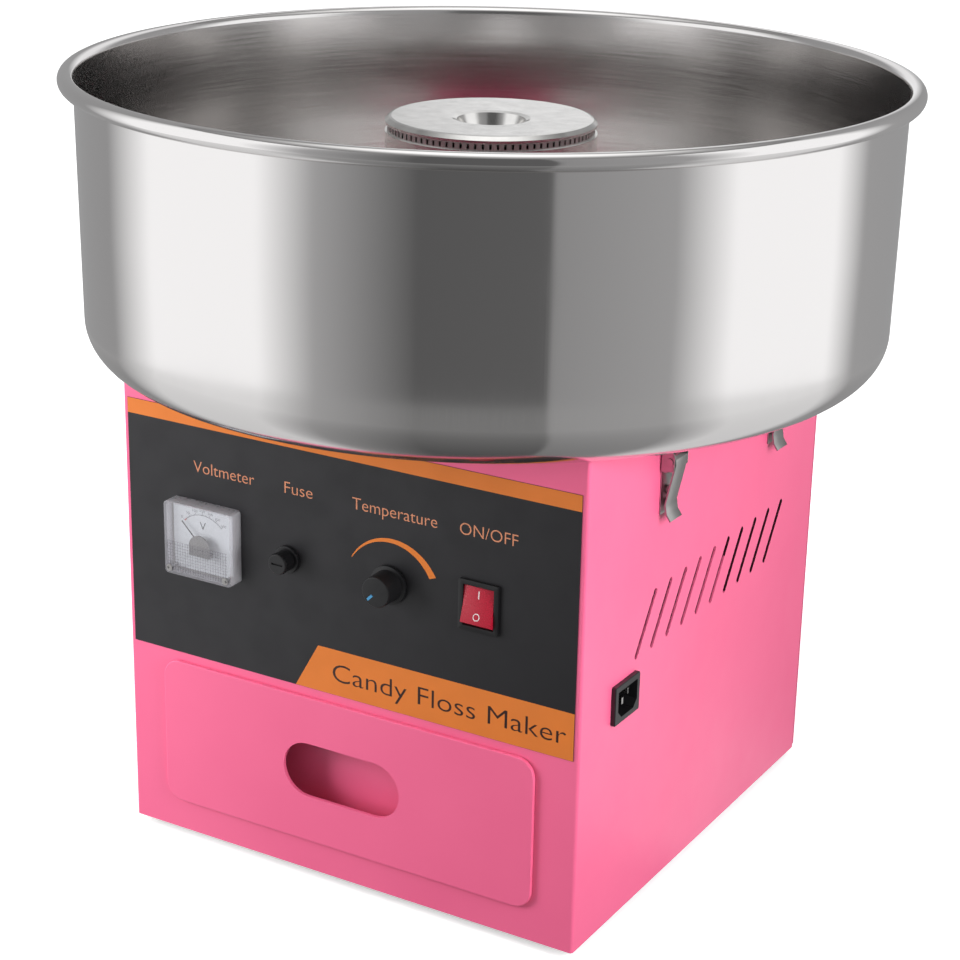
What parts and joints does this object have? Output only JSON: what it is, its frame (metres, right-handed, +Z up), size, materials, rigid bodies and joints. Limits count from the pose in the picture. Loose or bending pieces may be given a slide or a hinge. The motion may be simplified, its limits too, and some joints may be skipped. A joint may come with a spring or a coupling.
{
  "type": "cotton candy machine",
  "caption": "Table-top cotton candy machine with a lift-off steel bowl, spinning sugar head, control panel, storage drawer, toggle latches and mains inlet.",
  "frame": {"origin": "On the floor under the rubber feet, on the axis of the motor shaft and bowl.", "axes": "+Z is up, -Y is the front with the controls and drawer, +X is the side with the mains inlet."},
  "size_m": [0.52, 0.52, 0.486],
  "materials": {
    "pink_paint": "satin pink powder coat",
    "polished_steel": "polished outside, brushed round inside",
    "plated_steel": "plated steel",
    "decal": "satin printed film",
    "clear_cover": "clear moulded cover",
    "white_dial": "printed white scale",
    "black_plastic": "satin black moulding",
    "grey_plastic": "moulded",
    "needle_black": "matt black",
    "blue_mark": "moulded insert",
    "red_rocker": "translucent red",
    "pin_metal": "nickel plate",
    "fuse_glass": "glass tube with plated ends",
    "zinc": "zinc plated",
    "shaft_steel": "turned",
    "cast_aluminium": "turned and polished",
    "mesh_steel": "perforated strip",
    "heater": "resistance wire in a sheath",
    "ceramic": "unglazed",
    "brass": "turned",
    "carbon": "carbon",
    "fan_plastic": "moulded",
    "black_rubber": "matt",
    "board_green": "laminate"
  },
  "bodies": {
    "case": {"back_panel": "pink_paint", "base_plate": "pink_paint", "bearings": "zinc", "body_shell": "pink_paint", "brush_holder": "black_plastic", "brushes": "carbon", "case_screws": "plated_steel", "control_board": "board_green", "control_decal": "decal", "drawer_runners": "plated_steel", "fuse_holder": "black_plastic", "fuse_nut": "black_plastic", "inlet_housing": "black_plastic", "inlet_pins": "pin_metal", "latch_bases": "plated_steel", "latch_pins": "plated_steel", "latch_rivets": "plated_steel", "meter_base": "grey_plastic", "meter_cover": "clear_cover", "meter_dial": "white_dial", "meter_movement": "grey_plastic", "meter_screws": "plated_steel", "motor_cover": "pink_paint", "motor_housing": "zinc", "motor_plate": "zinc", "motor_stator": "zinc", "pot_body": "zinc", "pot_nut": "pin_metal", "rubber_feet": "black_rubber", "rubber_mounts": "black_rubber", "switch_housing": "black_plastic", "top_plate": "pink_paint"},
    "drawer": {"drawer_front": "pink_paint", "drawer_tray": "pink_paint"},
    "bowl": {"bowl": "polished_steel", "bowl_catches": "plated_steel", "catch_rivets": "plated_steel"},
    "knob": {"temperature_knob": "black_plastic", "knob_pointer": "blue_mark", "pot_shaft": "pin_metal"},
    "rocker": {"switch_rocker": "red_rocker"},
    "fuse": {"fuse_cap": "black_plastic", "fuse_cartridge": "fuse_glass"},
    "needle": {"meter_needle": "needle_black"},
    "spinner": {"drive_shaft": "shaft_steel", "motor_rotor": "zinc", "cooling_fan": "fan_plastic", "slip_rings": "brass", "head_pan": "cast_aluminium", "head_band": "mesh_steel", "head_cover": "cast_aluminium", "heater_coil": "heater", "heater_insulators": "ceramic", "head_studs": "shaft_steel", "head_nut": "shaft_steel"},
    "lever_front_right": {"latch_lever_front_right": "plated_steel"},
    "lever_rear_right": {"latch_lever_rear_right": "plated_steel"},
    "lever_front_left": {"latch_lever_front_left": "plated_steel"},
    "lever_rear_left": {"latch_lever_rear_left": "plated_steel"}
  },
  "joints": [
    {"name": "drawer_slide", "type": "slide", "parent": "case", "child": "drawer", "axis": [0, -1, 0], "range_m": [0, 0.2]},
    {"name": "bowl_lift", "type": "slide", "parent": "case", "child": "bowl", "axis": [0, 0, 1], "range_m": [0, 0.16]},
    {"name": "latch_front_right", "type": "hinge", "parent": "case", "child": "lever_front_right", "pos_m": [0.1675, -0.067, 0.287], "axis": [0, -1, 0], "range_deg": [0, 110]},
    {"name": "latch_rear_right", "type": "hinge", "parent": "case", "child": "lever_rear_right", "pos_m": [0.1675, 0.086, 0.287], "axis": [0, -1, 0], "range_deg": [0, 110]},
    {"name": "latch_front_left", "type": "hinge", "parent": "case", "child": "lever_front_left", "pos_m": [-0.1675, -0.067, 0.287], "axis": [0, 1, 0], "range_deg": [0, 110]},
    {"name": "latch_rear_left", "type": "hinge", "parent": "case", "child": "lever_rear_left", "pos_m": [-0.1675, 0.086, 0.287], "axis": [0, 1, 0], "range_deg": [0, 110]},
    {"name": "temperature_turn", "type": "hinge", "parent": "case", "child": "knob", "pos_m": [0.0332, -0.1634, 0.211], "axis": [0, 1, 0], "range_deg": [0, 270]},
    {"name": "rocker_tilt", "type": "hinge", "parent": "case", "child": "rocker", "pos_m": [0.094, -0.1605, 0.211], "axis": [1, 0, 0], "range_deg": [0, 24]},
    {"name": "fuse_pull", "type": "slide", "parent": "case", "child": "fuse", "axis": [0, -1, 0], "range_m": [0, 0.055]},
    {"name": "needle_swing", "type": "hinge", "parent": "case", "child": "needle", "pos_m": [-0.0985, -0.1693, 0.208], "axis": [0, 1, 0], "range_deg": [0, 90]},
    {"name": "head_spin", "type": "hinge", "parent": "case", "child": "spinner", "pos_m": [0, 0, 0.386], "axis": [0, 0, 1], "continuous": true}
  ]
}
